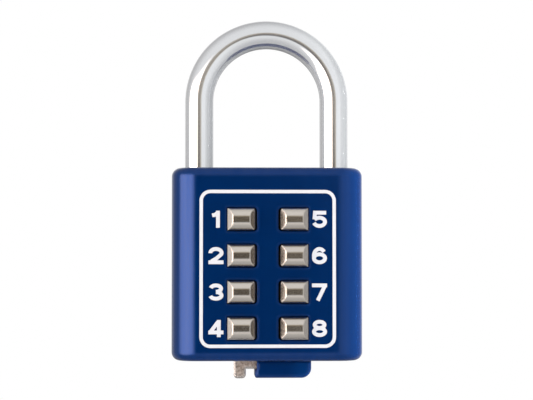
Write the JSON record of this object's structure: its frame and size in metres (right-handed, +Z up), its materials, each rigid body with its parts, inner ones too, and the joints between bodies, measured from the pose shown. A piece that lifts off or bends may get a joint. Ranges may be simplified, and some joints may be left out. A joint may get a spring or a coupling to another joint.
{
  "type": "push-button padlock",
  "caption": "Push-button combination padlock with a chrome shackle, a blue die-cast case, vaulted nickel buttons beside digits and a sliding release under the case",
  "frame": {"origin": "inside of the shackle's crown in the bar's middle plane, where the lock hangs", "axes": "+Z up from the case to the shackle's crown, keypad faces -Y, +X to the right of someone who reads the keypad"},
  "size_m": [0.05, 0.0221, 0.0947],
  "materials": {
    "blue_enamel": "gloss",
    "chrome": "polished",
    "nickel": "satin",
    "grainy_steel": "satin",
    "steel": "bright",
    "spring_steel": "bright"
  },
  "bodies": {
    "case": {"housing": "blue_enamel", "back_cover": "blue_enamel", "guide_plate": "steel", "rear_plate": "steel", "plate_spacers": "steel", "plate_screws": "steel", "shackle_spring": "spring_steel", "release_spring": "spring_steel", "button_spring_1": "spring_steel", "button_spring_2": "spring_steel", "button_spring_3": "spring_steel", "button_spring_4": "spring_steel", "button_spring_5": "spring_steel", "button_spring_6": "spring_steel", "button_spring_7": "spring_steel", "button_spring_8": "spring_steel"},
    "bow": {"shackle": "chrome", "stop_ring": "steel"},
    "release": {"slide_plate": "grainy_steel", "thumb_piece": "blue_enamel"},
    "key_1": {"button_1": "nickel"},
    "key_2": {"button_2": "nickel"},
    "key_3": {"button_3": "nickel"},
    "key_4": {"button_4": "nickel"},
    "key_5": {"button_5": "nickel"},
    "key_6": {"button_6": "nickel"},
    "key_7": {"button_7": "nickel"},
    "key_8": {"button_8": "nickel"}
  },
  "joints": [
    {"name": "release_slide", "type": "slide", "parent": "case", "child": "release", "axis": [1, 0, 0], "range_m": [0, 0.0055], "stiffness_N_per_m": 300, "springref_m": -0.003, "deforming": ["release_spring"]},
    {"name": "shackle_lift", "type": "slide", "parent": "case", "child": "bow", "axis": [0, 0, 1], "range_m": [0, 0.011], "deforming": ["shackle_spring"]},
    {"name": "button_1_press", "type": "slide", "parent": "case", "child": "key_1", "axis": [0, 1, 0], "range_m": [0, 0.002], "stiffness_N_per_m": 200, "springref_m": -0.002, "deforming": ["button_spring_1"]},
    {"name": "button_2_press", "type": "slide", "parent": "case", "child": "key_2", "axis": [0, 1, 0], "range_m": [0, 0.002], "stiffness_N_per_m": 200, "springref_m": -0.002, "deforming": ["button_spring_2"]},
    {"name": "button_3_press", "type": "slide", "parent": "case", "child": "key_3", "axis": [0, 1, 0], "range_m": [0, 0.002], "stiffness_N_per_m": 200, "springref_m": -0.002, "deforming": ["button_spring_3"]},
    {"name": "button_4_press", "type": "slide", "parent": "case", "child": "key_4", "axis": [0, 1, 0], "range_m": [0, 0.002], "stiffness_N_per_m": 200, "springref_m": -0.002, "deforming": ["button_spring_4"]},
    {"name": "button_5_press", "type": "slide", "parent": "case", "child": "key_5", "axis": [0, 1, 0], "range_m": [0, 0.002], "stiffness_N_per_m": 200, "springref_m": -0.002, "deforming": ["button_spring_5"]},
    {"name": "button_6_press", "type": "slide", "parent": "case", "child": "key_6", "axis": [0, 1, 0], "range_m": [0, 0.002], "stiffness_N_per_m": 200, "springref_m": -0.002, "deforming": ["button_spring_6"]},
    {"name": "button_7_press", "type": "slide", "parent": "case", "child": "key_7", "axis": [0, 1, 0], "range_m": [0, 0.002], "stiffness_N_per_m": 200, "springref_m": -0.002, "deforming": ["button_spring_7"]},
    {"name": "button_8_press", "type": "slide", "parent": "case", "child": "key_8", "axis": [0, 1, 0], "range_m": [0, 0.002], "stiffness_N_per_m": 200, "springref_m": -0.002, "deforming": ["button_spring_8"]}
  ],
  "couplings": [
    {"joint": "shackle_lift", "follows": "release_slide", "ratio": 2}
  ]
}
